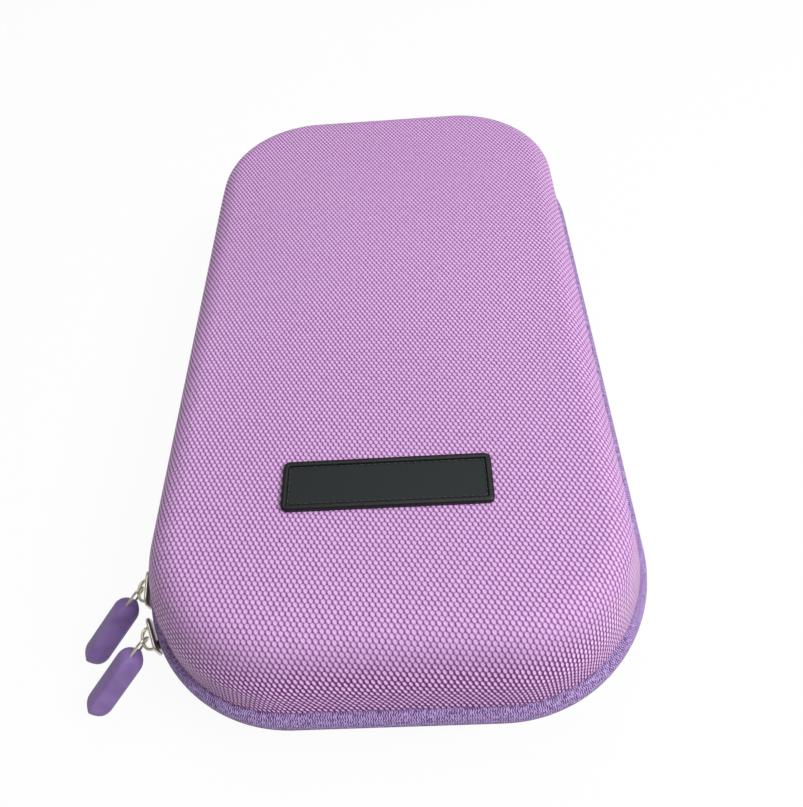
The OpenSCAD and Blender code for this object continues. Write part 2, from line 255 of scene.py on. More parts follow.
def way_round(width, length, radius, distance):
    """Follows a rounded rectangle, turning left from the far end of its left side.
    The middle runs along the rectangle inside the corners and the facing turns at its corners, so a point of
    the outline is middle + radius * facing, and one moved in by d is middle + (radius - d) * facing."""
    side, end, quarter = length - 2 * radius, width - 2 * radius, radius * np.pi / 2
    stations = np.cumsum([0, side, quarter, end, quarter, side, quarter, end, quarter])
    x = np.array([-1, -1, -1, 1, 1, 1, 1, -1, -1]) * end / 2
    y = np.array([1, -1, -1, -1, -1, 1, 1, 1, 1]) * side / 2
    angle = np.radians([180, 180, 270, 270, 360, 360, 450, 450, 540])
    at = np.mod(distance, stations[-1] + 1e-12)
    turn = np.interp(at, stations, angle)
    middle = np.stack([np.interp(at, stations, x), np.interp(at, stations, y)], -1)
    return middle, np.stack([np.cos(turn), np.sin(turn)], -1), stations


def carried(way, radius, out, height):
    """A section carried round a way: out is how far each of its points lies beyond the outline."""
    middle, facing = way[0], way[1]
    plan = middle[:, None] + facing[:, None] * (radius + np.asarray(out))[None, :, None]
    return lifted(plan, height)


def lifted(plan, height):
    """A grid of plan points with a height for each of its columns."""
    heights = np.broadcast_to(np.asarray(height)[None, :, None], plan.shape[:2] + (1,))
    return np.concatenate([plan, heights], -1)


def surface(name, points, chart=None, ring=False, tube=False, caps=False, top=False, bottom=False):
    """A mesh of quads on a grid of points (n, m, 3) that faces the side on which n x m points out.
    ring joins the last row to the first, tube does so for the columns, caps close the ends of a tube, top
    and bottom close the last and the first column of a ring, and chart is the grid's own map in metres, one
    longer where it is joined."""
    n, m = points.shape[:2]
    i, j = np.meshgrid(np.arange(n if ring else n - 1), np.arange(m if tube else m - 1), indexing="ij")
    i = i.reshape(-1, 1) + np.array([0, 1, 1, 0])
    j = j.reshape(-1, 1) + np.array([0, 0, 1, 1])
    faces = ((i % n) * m + j % m).tolist()
    if caps:
        faces += [list(range(m)), list(range(n * m - 1, (n - 1) * m - 1, -1))]
    if top:
        faces += [list(range(m - 1, n * m, m))]
    if bottom:
        faces += [list(range((n - 1) * m, -1, -m))]
    mesh = bpy.data.meshes.new(name)
    mesh.from_pydata(points.reshape(-1, 3), [], faces)
    if chart is not None:
        values = chart[i, j].reshape(-1)
        values = np.concatenate([values, np.zeros(2 * len(mesh.loops) - len(values))])
        mesh.uv_layers.new(name="chart").data.foreach_set("uv", values)
    mesh.polygons.foreach_set("use_smooth", np.ones(len(mesh.polygons), bool))
    return mesh


def piece(name, meshes, finish, body, replaced=()):
    """Joins meshes into one object, gives it its finish and hands it to the frame."""
    made = bmesh.new()
    for mesh in meshes:
        made.from_mesh(mesh)
    bmesh.ops.remove_doubles(made, verts=made.verts, dist=1e-7)
    whole = bpy.data.meshes.new(name)
    made.to_mesh(whole)
    made.free()
    obj = bpy.data.objects.new(name, whole)
    bpy.context.scene.collection.objects.link(obj)
    whole.materials.append(finish.material)
    if body:
        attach(obj, body)
    if replaced:
        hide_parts(*replaced)
    return obj


def wall_out(height, depth):
    """How far the wall lies beyond the outline at a height over the zip: minus the band's edge, minus the
    rise over the band times the draft's tangent, minus the depth under its face over the draft's cosine."""
    return -band_proud - (height - band_half) * np.tan(wall_draft) - depth / np.cos(wall_draft)


def wall_section(half_height, shoulder):
    """Foot to flat: a quarter curve tucks the foot in over the band, then the straight wall, an arc for the
    shoulder and a strip of the flat that stops flat_gap short of the corner's centre."""
    turn = np.linspace(wall_draft, np.pi / 2, 22)
    middle_out = wall_out(half_height - shoulder, 0) - shoulder / np.cos(wall_draft)
    middle = np.array([middle_out, half_height - shoulder])
    bend = middle + shoulder * np.stack([np.cos(turn), np.sin(turn)], -1)
    low = band_half + foot_rise
    rise = np.linspace(low, bend[0, 1], 9)[:-1]
    wall = np.stack([wall_out(rise, 0), rise], -1)
    tuck = np.linspace(-np.pi / 2, 0, 6)[:-1]
    tucked_in = wall_out(low, 0) - foot_tuck * (1 - np.cos(tuck))
    foot = np.stack([tucked_in, low + foot_drop * np.sin(tuck)], -1)
    flat = np.linspace(bend[-1, 0], flat_gap - corner_radius, 8)[1:]
    top = np.stack([flat, np.full(len(flat), half_height)], -1)
    return np.concatenate([foot, wall, bend, top])


def cover(name, half_height, shoulder, in_lid):
    """The section carried all round, then rings that shrink to the middle of the flat top.
    The ends and the left side are fuller than the right, by fullness * sin^2(pi * t) at a share t of the
    wall's height. The mould stretches the cloth where it runs down, by 1 + cloth_stretch * (drop / run)^2."""
    total = way_round(case_width, case_length, corner_radius, 0.0)[2][-1]
    way = way_round(case_width, case_length, corner_radius, np.linspace(0, total, 360, endpoint=False))
    section = wall_section(half_height, shoulder)
    wall = carried(way, corner_radius, section[:, 0], section[:, 1])
    low, high = band_half + foot_rise, half_height - 0.35 * shoulder
    swell = fullness * np.sin(np.pi * np.clip((section[:, 1] - low) / (high - low), 0, 1)) ** 2
    not_right = 1 - np.maximum(way[1][:, 0], 0) ** 2
    wall[:, :, :2] += way[1][:, None] * not_right[:, None, None] * swell[None, :, None]
    shrink = np.linspace(1, 0, 14)[1:]
    flat = wall[:, -1:] * np.stack([shrink, shrink, np.ones(13)], -1)[None]
    steps = np.linalg.norm(np.diff(section, axis=0), axis=1)
    steps /= 1 + cloth_stretch * (np.diff(section[:, 1]) / steps) ** 2
    beyond = np.concatenate([np.cumsum(steps[::-1])[::-1], [0]])
    pulled = wall[:, -1:, :2] + way[1][:, None] * beyond[None, :, None]
    cloth = np.concatenate([pulled, flat[:, :, :2]], 1)
    points = np.concatenate([wall, flat], 1)
    if not in_lid:
        points, cloth = points[:, ::-1] * [1, 1, -1], cloth[:, ::-1]
    points = points + [0, 0, zip_height]
    return surface(name, points, np.concatenate([cloth, cloth[:1]]), ring=True)


# Weave: plump yarns float up in staggered rows, with the weft a little askew. Each float is a pillow that
# rises from a crease. The creases carry painted shade and the floats' tops painted glints; a diagonal lean
# is partly the weave's own slant and partly painted shade along one side of each float. Down the walls the
# painted shade and glints grow stronger, the end walls get a darker painted shade, and a painted shadow runs
# along the foot over the band.
float_half_width, float_half_length, weft_lean = 0.000866, 0.001366, 0.1
woven = Finish("woven_cover", Roughness=0.45, IOR=1.4)
woven.shader.inputs["Specular IOR Level"].default_value = 0.15
u, v, cloth_at = woven.along()
across = u / float_half_width
along_warp = (v + u * weft_lean) / float_half_length


def pillow(shift):
    """1 - 1.1 a^2 - 2.6 b^2 at a across and b along from the nearest float of a lattice of 2 by 2 steps."""
    a = ((across + shift) * 0.5 + 0.5).part() * 2.0 - 1.0
    b = ((along_warp + shift) * 0.5 + 0.5).part() * 2.0 - 1.0
    return 1.0 - a * a * 1.1 - b * b * 2.6


floats = pillow(0.0).maths("MAXIMUM", pillow(1.0)).step(-0.35, 0.85)
# The lean is partly the weave's own diagonal slant and partly painted shade along one side of each float; it
# goes into the colour only, not the bump.
lean_and_shade = ((across + along_warp) * np.pi + 0.6).cos() * 0.5 + 0.5
yarns = ((u * 0.35 + v) * (2 * np.pi / 0.00019)).cos() * 0.5 + 0.5
uneven = woven.noise(cloth_at, 700.0, 2.0, (1.0, 0.5, 1.0))
broad = woven.noise(cloth_at, 9.0, 1.0)
x, y, z, at = woven.place()
rise = (z - zip_height).size()
down_wall = 1.0 - rise.step(lid_height - 0.016, lid_height - 0.003)
even = floats * 0.62 + lean_and_shade * 0.38 + (uneven - 0.5) * 0.34 + (yarns - 0.5) * 0.04
# Painted shade and highlight: crease is painted shade between the floats and glint a painted highlight on
# their tops, and down the walls both grow stronger, the creases darker and the glints brighter.
shade = even + (even - 0.6) * down_wall * 0.9 - down_wall * 0.04
crease = woven.mix(down_wall, tint(120, 66, 128), tint(98, 42, 106))
glint = woven.mix(down_wall, tint(223, 181, 230), tint(252, 206, 254))
# Painted shade: down the near and far end walls the yarn colour is darker and the glints weaker.
ends = y.size().step(0.112, 0.130) * down_wall
yarn = woven.mix(ends, tint(184, 137, 190), tint(154, 88, 166))
crease_to_yarn = woven.mix(shade.step(0.10, 0.55), crease, yarn)
yarn_to_glint = woven.mix((shade - ends * 0.12).step(0.45, 0.95), crease_to_yarn, glint)
# Painted shadow: the cloth is darkened along its foot, just over the band, where it turns under.
foot_shade = 1.0 - rise.step(band_half + 0.0004, band_half + 0.0026)
plain = woven.mix((broad - 0.5) * 0.3 + 0.05, yarn_to_glint, tint(160, 116, 172))
woven.feed(Base_Color=woven.mix(foot_shade * 0.85, plain, tint(84, 42, 98)))
woven.feed(Roughness=0.56 - shade.step(0.5, 1.0) * (down_wall * 0.1 + 0.14))
woven.bump((floats * 0.92 + yarns * 0.08) * (down_wall * 0.35 + 0.65), 0.00042)

for name, half_height, shoulder, in_lid in (("lid", lid_height, lid_shoulder, True),
                                            ("base", base_height, base_shoulder, False)):
    mesh = cover(name + "_cover_cloth", half_height, shoulder, in_lid)
    cloth = piece(name + "_cover_cloth", [mesh], woven, name, [name + "_cover"])
    wall = cloth.modifiers.new("cloth", "SOLIDIFY")
    wall.thickness = cover_depth * 0.96
    wall.offset = -1.0


# Foam and lining. The moulded foam core is hidden between cover and lining; the lining is a brushed knit that
# is laminated to the foam and shows when the case is open. Both keep the frame's own shapes.
foam = Finish("foam_core", Roughness=0.85)
x, y, z, at = foam.place()
cells = foam.node("ShaderNodeTexVoronoi", None, {"Vector": at, "Scale": 1800.0})
foam.feed(Base_Color=foam.mix(cells.step(0.1, 0.7), tint(120, 100, 135), tint(165, 145, 180)))
foam.bump(cells, 0.0003)

brushed = Finish("lining", Roughness=0.95, Sheen_Weight=0.5, Sheen_Roughness=0.5)
x, y, z, at = brushed.place()
nap = brushed.noise(at, 900.0, 3.0)
pile = brushed.noise(at, 60.0, 2.0)
wales = ((x + z) * (2 * np.pi / 0.0011)).cos() * ((y + z) * (2 * np.pi / 0.0011)).cos()
brushed.feed(Base_Color=brushed.mix(nap * 0.6 + pile * 0.4, tint(44, 40, 52), tint(88, 82, 98)))
brushed.bump(nap * 0.7 + wales * 0.15 + 0.15, 0.0003)
for layer, finish in (("_shell", foam), ("_lining", brushed)):
    for half in ("base", "lid"):
        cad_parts[half + layer].data.materials.clear()
        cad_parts[half + layer].data.materials.append(finish.material)


# Zip tapes. A knitted tape is rolled over each edge into half of a round band, with the slit in the middle,
# and its leg is sewn up the inside of the wall. At the closed end, beside the hinge, both halves of the band
# stay with the base.
band_bulge, tape_depth, slit_half, sewn_height = 0.003, 0.0012, 0.00045, 0.013
closed_turn, closed_length, end_slit, nose_points, strip_step = np.radians(36), 0.006, 0.0002, 14, 0.0024


def nose(depth):
    """The rolled edge: a quarter of an upright oval from the slit to the wall, at a depth under its face."""
    a = np.linspace(0, np.pi / 2, nose_points)
    return np.stack([-band_bulge + (band_bulge - depth) * np.cos(a),
                     slit_half + (band_half - slit_half - depth) * np.sin(a)], -1)


def tape_section(leg=True):
    """Nose, flat under the wall and, with a leg, up its inside and back down; turning left."""
    outer, inner = nose(0), nose(tape_depth)[::-1]
    if not leg:
        return np.concatenate([outer, inner])
    rise = np.linspace(band_half + 0.0004, sewn_height, 8)
    face = np.stack([wall_out(rise, wall_depth + 0.0001), rise], -1)
    back = np.stack([wall_out(rise - tape_depth, wall_depth + 0.0001 + tape_depth), rise - tape_depth], -1)
    tip = np.array([[wall_out(sewn_height, wall_depth + 0.0003), sewn_height + 0.0002],
                    [wall_out(sewn_height, wall_depth + tape_depth), sewn_height + 0.0002]])
    return np.concatenate([outer, face, tip, back[::-1], inner])


def strip(name, section, in_lid, start, stop, caps=True):
    """A closed section carried from start to stop of the outline, upright in the lid or hung in the base."""
    distance = np.linspace(start, stop, int((stop - start) / strip_step) + 2)
    way = way_round(case_width, case_length, corner_radius, distance)
    points = carried(way, corner_radius, section[:, 0], section[:, 1] if in_lid else -section[:, 1])
    closed = np.concatenate([section, section[:1]])
    path = np.concatenate([[0], np.cumsum(np.linalg.norm(np.diff(closed, axis=0), axis=1))])
    chart = np.stack(np.broadcast_arrays(distance[:, None], path[None]), -1)
    if not in_lid:
        points, chart = np.roll(points[:, ::-1], 1, axis=1), chart[:, ::-1]
    return surface(name, points + [0, 0, zip_height], chart, tube=True, caps=caps)


side_length = case_length - 2 * corner_radius
round_length = way_round(case_width, case_length, corner_radius, 0.0)[2][-1]
closed_stop = side_length + closed_turn * corner_radius
hinge_stop = side_length - closed_length - end_slit

# Fine knit: rows of tiny slanting loops under a dusty speckle, so that it reads as grain from a step away.
knit = Finish("zip_tape", Roughness=0.85, Sheen_Weight=0.1, Sheen_Roughness=0.4)
u, v, at = knit.along()
wale = u * (2 * np.pi / 0.00075)
course = v * (2 * np.pi / 0.0008)
loops = (wale + (course * 0.5).cos() * 1.4).cos() * 0.5 + 0.5
speckle = knit.noise(at, 1100.0, 2.0)
grit = knit.noise(at, 500.0, 1.0)
loops_up = loops * 0.22 + speckle * 0.6 + grit * 0.18
knit.feed(Base_Color=knit.mix(loops_up.step(0.40, 0.60), tint(78, 44, 106), tint(188, 160, 215)))
knit.bump(loops_up, 0.00024)

for name, in_lid in (("lid", True), ("base", False)):
    mesh = strip(name + "_tape", tape_section(), in_lid, closed_stop + end_slit, round_length)
    piece(name + "_tape", [mesh], knit, name, [name + "_zip_tape"])
halves = [strip("closed_low", tape_section(), False, hinge_stop + end_slit, closed_stop),
          strip("closed_high", tape_section(False), True, hinge_stop + end_slit, closed_stop)]
piece("closed_tape", halves, knit, "base", ["zip_closed_end"])


# Hinge. One strip of the same knitted tape runs down the left side without a slit. It is sewn into both
# halves and folds on its middle line.
def hinge_section():
    """Both tape sections end to end, with a shallow crease where the strip folds; turning left."""
    upper = tape_section()
    outer, rest, inner = upper[:nose_points], upper[nose_points:-nose_points], upper[-nose_points:]
    crease = np.array([[-0.0004, 0.0]])
    core = np.array([[-0.0004 - tape_depth, 0.0]])
    flip = np.array([1, -1])
    return np.concatenate([crease, outer, rest, inner, core, inner[::-1] * flip, rest[::-1] * flip,
                           outer[::-1] * flip])


hinge_mesh = strip("hinge_cloth", hinge_section(), True, 0, hinge_stop)
hinge = piece("hinge_cloth", [hinge_mesh], knit, None, ["base_hinge_leaf", "lid_hinge_leaf"])
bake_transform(hinge)


# Zip coils. Each coil is one nylon monofilament wound into a flat spiral that lies behind the edge of its
# tape, one coil on each side of the slit.
coil_pitch, coil_wire, coil_depth, coil_rise = 0.0013, 0.00028, 0.00215, 0.00135
coil_half_width, coil_half_height = 0.00068, 0.00075


def coil(name, in_lid, start, stop):
    """An oval spiral, as a thin tube of five sides, round a line coil_depth in and coil_rise up or down."""
    count = int((stop - start) / coil_pitch) * 12
    phase = np.linspace(0, count / 12 * 2 * np.pi, count)
    way = way_round(case_width, case_length, corner_radius, np.linspace(start, stop, count))
    out = -coil_depth + coil_half_width * np.cos(phase)
    height = coil_rise + coil_half_height * np.sin(phase)
    if not in_lid:
        height = -height
    middle = np.concatenate([way[0] + way[1] * (corner_radius + out)[:, None], height[:, None]], -1)
    ahead_on = np.gradient(middle, axis=0)
    ahead_on /= np.linalg.norm(ahead_on, axis=1, keepdims=True)
    first = np.cross(ahead_on, np.concatenate([way[1], np.full((count, 1), 0.3)], 1))
    first /= np.linalg.norm(first, axis=1, keepdims=True)
    second = np.cross(ahead_on, first)
    a = np.arange(5) * 2 * np.pi / 5
    ring = first[:, None] * np.cos(a)[None, :, None] + second[:, None] * np.sin(a)[None, :, None]
    points = middle[:, None] + ring[:, ::-1] * coil_wire + [0, 0, zip_height]
    return surface(name, points, tube=True, caps=True)


nylon = Finish("zip_coil", Roughness=0.35, Coat_Weight=0.2)
x, y, z, at = nylon.place()
nylon.feed(Base_Color=nylon.mix(nylon.noise(at, 400.0), tint(120, 98, 165), tint(165, 145, 205)))
for name, in_lid in (("lid", True), ("base", False)):
    mesh = coil(name + "_coil", in_lid, closed_stop + end_slit, round_length)
    piece(name + "_coil", [mesh], nylon, name, [name + "_zip_coil"])
ends = [coil("end_coil_low", False, hinge_stop + end_slit, closed_stop),
        coil("end_coil_high", True, hinge_stop + end_slit, closed_stop)]
piece("end_coil", ends, nylon, "base", ["zip_end_coil"])


# Bindings. A ribbed tape covers the seam where zip tape and lining are sewn to each shell, all round inside,
# with one row of stitches near each edge.
def stitches(name, way, radius, out, height, shift, length, thickness):
    """A row of short threads along a way, out beyond its outline and at a height, then moved by shift. Each
    is a spindle of six sides, thickness * sqrt(1 - t^4) thick at t from -1 to 1 along it."""
    rings, sides = 5, 6
    t = np.linspace(-1, 1, rings)
    swell = np.sqrt(np.clip(1 - t ** 4, 0.02, 1)) * thickness / 2
    points = carried(way, radius, [out], [height])[:, 0] + shift
    heading = np.stack([-way[1][:, 1], way[1][:, 0], np.zeros(len(points))], -1)
    heading /= np.linalg.norm(heading, axis=1, keepdims=True)
    side = np.cross(heading, [0.31, 0.52, 0.79])
    side /= np.linalg.norm(side, axis=1, keepdims=True)
    other = np.cross(heading, side)
    a = np.arange(sides) * 2 * np.pi / sides
    ring = side[:, None] * np.cos(a)[None, :, None] + other[:, None] * np.sin(a)[None, :, None]
    body = (points[:, None, None] + heading[:, None, None] * (t * length / 2)[None, :, None, None]
            + ring[:, None] * swell[None, :, None, None])
    low = np.repeat(np.arange(rings - 1) * sides, sides)
    here = np.tile(np.arange(sides), rings - 1)
    high, beside = low + sides, (here + 1) % sides
    quads = np.stack([low + beside, high + beside, high + here, low + here], 1)
    first = np.arange(len(points))[:, None] * rings * sides
    faces = (first[:, :, None] + quads).reshape(-1, 4).tolist()
    last = rings * sides - 1
    faces += (first + np.arange(sides)).tolist() + (first + np.arange(last, last - sides, -1)).tolist()
    mesh = bpy.data.meshes.new(name)
    mesh.from_pydata(body.reshape(-1, 3), [], faces)
    mesh.polygons.foreach_set("use_smooth", np.ones(len(mesh.polygons), bool))
    return mesh


ribbed = Finish("binding", Roughness=0.85, Sheen_Weight=0.25)
u, v, at = ribbed.along()
ribs = (u * (2 * np.pi / 0.0012)).cos() * 0.5 + 0.5
fuzz = ribbed.noise(at, 1200.0)
ribbed.feed(Base_Color=ribbed.mix(ribs * 0.7 + fuzz * 0.3, tint(52, 42, 62), tint(104, 88, 118)))
ribbed.bump(ribs * 0.7 + fuzz * 0.3, 0.0002)
thread = Finish("thread", Roughness=0.6)
x, y, z, at = thread.place()
thread.feed(Base_Color=thread.mix(thread.noise(at, 2500.0), tint(120, 100, 140), tint(175, 155, 195)))

binding_depth = wall_depth + tape_depth + 0.0003
rise = np.linspace(band_half - tape_depth, sewn_height + 0.002, 7)
face = np.stack([wall_out(rise, binding_depth), rise], -1)
back = np.stack([wall_out(rise, binding_depth + 0.0007), rise], -1)[::-1]
binding_section = np.concatenate([face, back])
for name, in_lid in (("lid", True), ("base", False)):
    mesh = strip(name + "_ribbon", binding_section, in_lid, 0, round_length, caps=False)
    piece(name + "_ribbon", [mesh], ribbed, name, [name + "_binding"])
    way = way_round(case_width, case_length, corner_radius, np.arange(0, round_length, 0.0032))
    rows = [stitches(name + "_seam", way, corner_radius, wall_out(height, binding_depth + 0.00085),
                     height if in_lid else -height, [0, 0, zip_height], 0.0024, 0.0005)
            for height in (0.0055, 0.0132)]
    piece(name + "_seam", rows, thread, name)


# Patch. A soft black moulded label with a raised rim round a plain field. One row of stitches just inside
# the rim holds it on the lid.
patch_size, patch_radius, patch_y = (0.065, 0.017), 0.002, -0.075
patch_height, rim_width, rim_round, field_depth = 0.0018, 0.0019, 0.0006, 0.0007
table_top = zip_height + lid_height
field_top = table_top + patch_height - field_depth
rounding = np.linspace(0, np.pi / 2, 7)
edge = np.stack([rim_round * (np.cos(rounding) - 1), patch_height + rim_round * (np.sin(rounding) - 1)], -1)
drop = np.stack([-rim_width + 0.0004 - 0.0004 * np.sin(rounding),
                 patch_height - field_depth * (1 - np.cos(rounding))], -1)
patch_section = np.concatenate([[[0, 0.0]], edge, [[-0.0010, patch_height + 0.00005]], drop,
                                [[-rim_width - 0.00005, patch_height - field_depth],
                                 [-rim_width - 0.0001, patch_height - field_depth]]])
patch_round = way_round(*patch_size, patch_radius, 0.0)[2][-1]
patch_way = way_round(*patch_size, patch_radius, np.linspace(0, patch_round, 160, endpoint=False))
patch_points = carried(patch_way, patch_radius, *patch_section.T) + [0, patch_y, table_top]
vinyl = Finish("patch", Roughness=0.5, IOR=1.4)
x, y, z, at = vinyl.place()
grain = vinyl.noise(at, 1400.0, 3.0)
on_rim = z.step(field_top + 0.00005, table_top + patch_height - 0.0001)
vinyl.feed(Base_Color=vinyl.mix(on_rim + (grain - 0.5) * 0.2, tint(20, 27, 28), tint(13, 13, 16)))
vinyl.feed(Roughness=0.6 - on_rim * 0.18)
vinyl.bump(grain, 0.00008)
patch_mesh = surface("patch", patch_points, ring=True, top=True, bottom=True)
piece("patch", [patch_mesh], vinyl, "lid", ["lid_patch"])
seam_inset, seam_radius = 0.0044, 0.001
seam_way = way_round(patch_size[0] - seam_inset, patch_size[1] - seam_inset, seam_radius,
                     np.arange(0, 0.1522, 0.0021))
patch_seam = stitches("patch_seam", seam_way, seam_radius, 0.0, field_top + 0.0001, [0, patch_y, 0],
                      0.0015, 0.00045)
black_thread = Finish("patch_thread", Roughness=0.5)
x, y, z, at = black_thread.place()
twist = black_thread.noise(at, 3000.0)
black_thread.feed(Base_Color=black_thread.mix(twist, tint(18, 18, 22), tint(64, 64, 70)))
piece("patch_seam", [patch_seam], black_thread, "lid")


# Sliders. Two cast metal sliders stand nose to nose on the near left corner of the zip: a rounded outer plate
# with an arch for the pull, a smaller plate inside and the post that parts the coils.
slider_turns = {"far": np.radians(7), "near": np.radians(25)}
near_left = np.array([-(case_width / 2 - corner_radius), -side_length / 2, zip_height])


def corner_frame(turn):
    """Origin on the outline and axes out, along the zip and up, at a turn past the corner's start."""
    a = np.pi + turn
    out = np.array([np.cos(a), np.sin(a), 0])
    return near_left + out * corner_radius, np.stack([out, [-out[1], out[0], 0], [0, 0, 1.0]])


def plate(name, size, radius, depth, out, frame_at):
    """A rounded tablet: an edge rolled over both faces of a rounded rectangle."""
    roll = np.linspace(-np.pi / 2, np.pi / 2, 9)
    r = depth / 2
    section = np.stack([-r + r * np.cos(roll), r * np.sin(roll)], -1)
    section = np.concatenate([[[-radius * 0.9, -r]], section, [[-radius * 0.9, r * 1.1]]])
    total = way_round(size[0], size[1], radius, 0.0)[2][-1]
    way = way_round(size[0], size[1], radius, np.linspace(0, total, 48, endpoint=False))
    flat = carried(way, radius, np.maximum(section[:, 0], -radius * 0.98), section[:, 1])
    centre = np.array([0, 0, 1.0])
    points = np.concatenate([flat[:, :1] * centre, flat, flat[:, -1:] * centre], 1)
    origin, axes = frame_at
    local = points[:, :, [2, 0, 1]] + [out + r, 0, 0]
    return surface(name, origin + local @ axes, ring=True)


def arch(name, frame_at, foot, height, half_length, width, thickness):
    """A bridge over the plate: a rounded strap carried over half a squared oval."""
    a = np.linspace(-np.pi / 2, np.pi / 2, 33)
    reach = np.cos(a) ** 0.6
    middle = np.stack([foot + (height + thickness / 2) * reach,
                       (half_length - thickness / 2) * np.sin(a)], -1)
    step_on = np.gradient(middle, axis=0)
    step_on /= np.linalg.norm(step_on, axis=1, keepdims=True)
    side = np.stack([step_on[:, 1], -step_on[:, 0]], -1)
    b = np.linspace(0, 2 * np.pi, 12, endpoint=False)
    thick = np.sign(np.cos(b)) * np.abs(np.cos(b)) ** 0.6 * thickness / 2
    wide = np.sign(np.sin(b)) * np.abs(np.sin(b)) ** 0.6 * width / 2
    plan = middle[:, None] + side[:, None] * thick[None, :, None]
    origin, axes = frame_at
    return surface(name, origin + lifted(plan, wide) @ axes, tube=True, caps=True)


nickel = Finish("slider_metal", Metallic=1.0, Roughness=0.28)
x, y, z, at = nickel.place()
worn = nickel.noise(at, 500.0, 3.0)
nickel.feed(Base_Color=nickel.mix(worn, tint(196, 192, 172), tint(226, 222, 206)))
nickel.feed(Roughness=0.22 + worn * 0.2)
plate_out, plate_depth, bridge_gap, bridge_depth = 0.00045, 0.0011, 0.0028, 0.0009
outer_plate, inner_plate, rear_out = (0.0125, 0.008), (0.0125, 0.0056), -0.004
bridge_half, bridge_width, post_half, post_along = 0.00425, 0.0016, (0.0015, 0.00025), 0.00325
for name, turn in slider_turns.items():
    at_corner = corner_frame(turn)
    way_on = -1 if name == "far" else 1
    square = np.array([[-1, -1], [1, -1], [1, 1], [-1, 1]]) * post_half + [way_on * post_along, 0]
    post = np.stack([np.insert(square, 0, x, 1) for x in (rear_out - 0.0004, plate_out + 0.0004)])
    metal = [plate("outer", outer_plate, 0.0026, plate_depth, plate_out, at_corner),
             plate("inner", inner_plate, 0.002, plate_depth, rear_out - plate_depth, at_corner),
             arch("arch", at_corner, plate_out + plate_depth * 0.8, bridge_gap + plate_depth * 0.2,
                  bridge_half, bridge_width, bridge_depth),
             surface("post", at_corner[0] + post[:, ::-1] @ at_corner[1], tube=True, caps=True)]
    slider_name = name + "_slider_body"
    piece(slider_name, metal, nickel, slider_name, [name + "_slider"])


# Pulls. A wire loop hangs on each arch, and its two ends are moulded into a long soft grip whose bevels meet
# along its sides.
wire_width, loop_radius, loop_length, wire_in_grip = 0.0009, 0.0023, 0.0065, 0.004
grip_length, grip_width, grip_half, bevel, end_round = 0.029, 0.0106, 0.0045, 0.0040, 0.0042
pull_heading, pull_droop, pull_roll = np.radians(217), np.radians(38), np.radians(20)
bridge_out = plate_out + plate_depth + bridge_gap + bridge_depth / 2
bend_back = (bridge_depth + wire_width) / 2 + 0.00085


def pull_frame(turn):
    """Origin at the wire's bend and axes along the pull, across it and up, as the pull hangs."""
    origin, axes = corner_frame(turn)
    h = pull_heading
    level_on = np.array([np.cos(h), np.sin(h), 0])
    ahead_on = level_on * np.cos(pull_droop) - np.array([0, 0, np.sin(pull_droop)])
    level_side = np.array([-np.sin(h), np.cos(h), 0])
    upright = np.cross(ahead_on, level_side)
    up = upright * np.cos(pull_roll) + level_side * np.sin(pull_roll)
    side = np.cross(up, ahead_on)
    return origin + axes[0] * bridge_out - ahead_on * bend_back, np.stack([ahead_on, side, up])


def wire(name, frame_at):
    """A round wire along a half ring and two straight legs, in the plane of the pull and its up."""
    leg = np.linspace(loop_length + wire_in_grip, loop_radius, 8)[:-1]
    a = np.linspace(np.pi / 2, 3 * np.pi / 2, 25)
    ring = np.stack([loop_radius + loop_radius * np.cos(a), loop_radius * np.sin(a)], -1)
    path = np.concatenate([np.stack([leg, np.full(7, loop_radius)], -1), ring,
                           np.stack([leg[::-1], np.full(7, -loop_radius)], -1)])
    heading = np.gradient(path, axis=0)
    heading /= np.linalg.norm(heading, axis=1, keepdims=True)
    side = np.stack([heading[:, 1], -heading[:, 0]], -1)
    b = np.linspace(0, 2 * np.pi, 14, endpoint=False)
    flat = path[:, None] + side[:, None] * (np.cos(b) * wire_width / 2)[None, :, None]
    local = lifted(flat, np.sin(b) * wire_width / 2)[:, ::-1, [0, 2, 1]]
    origin, axes = frame_at
    return surface(name, origin + local @ axes, tube=True, caps=True)


def grip(name, frame_at):
    """Rings of a long rounded bar. Along its sides two bevels meet in a soft ridge, about bevel * |t| in at a
    share t of the half height; round its ends they give way to a curve, end_round * (1 - sqrt(1 - t^2))."""
    height = np.sin(np.linspace(-np.pi / 2, np.pi / 2, 25)) * grip_half
    share = np.abs(height) / grip_half
    bar = bevel * np.sqrt(share ** 2 + 0.003) - 0.0002 + 0.0006 * share ** 6
    end = end_round * (1 - np.sqrt(np.clip(1 - share ** 2, 0, 1)))
    radius = grip_width / 2 - 0.00005
    total = way_round(grip_width, grip_length, radius, 0.0)[2][-1]
    way = way_round(grip_width, grip_length, radius, np.linspace(0, total, 96, endpoint=False))
    turned = (way[1][:, 1] ** 2)[:, None]
    inset = bar * (1 - turned) + end * turned
    plan = way[0][:, None] + way[1][:, None] * (radius - inset)[:, :, None]
    x, y, z = np.moveaxis(lifted(plan, height)[:, ::-1], -1, 0)
    local = np.stack([loop_length + grip_length / 2 - y, z, x], -1)
    origin, axes = frame_at
    return surface(name, origin + local @ axes, ring=True, top=True, bottom=True)


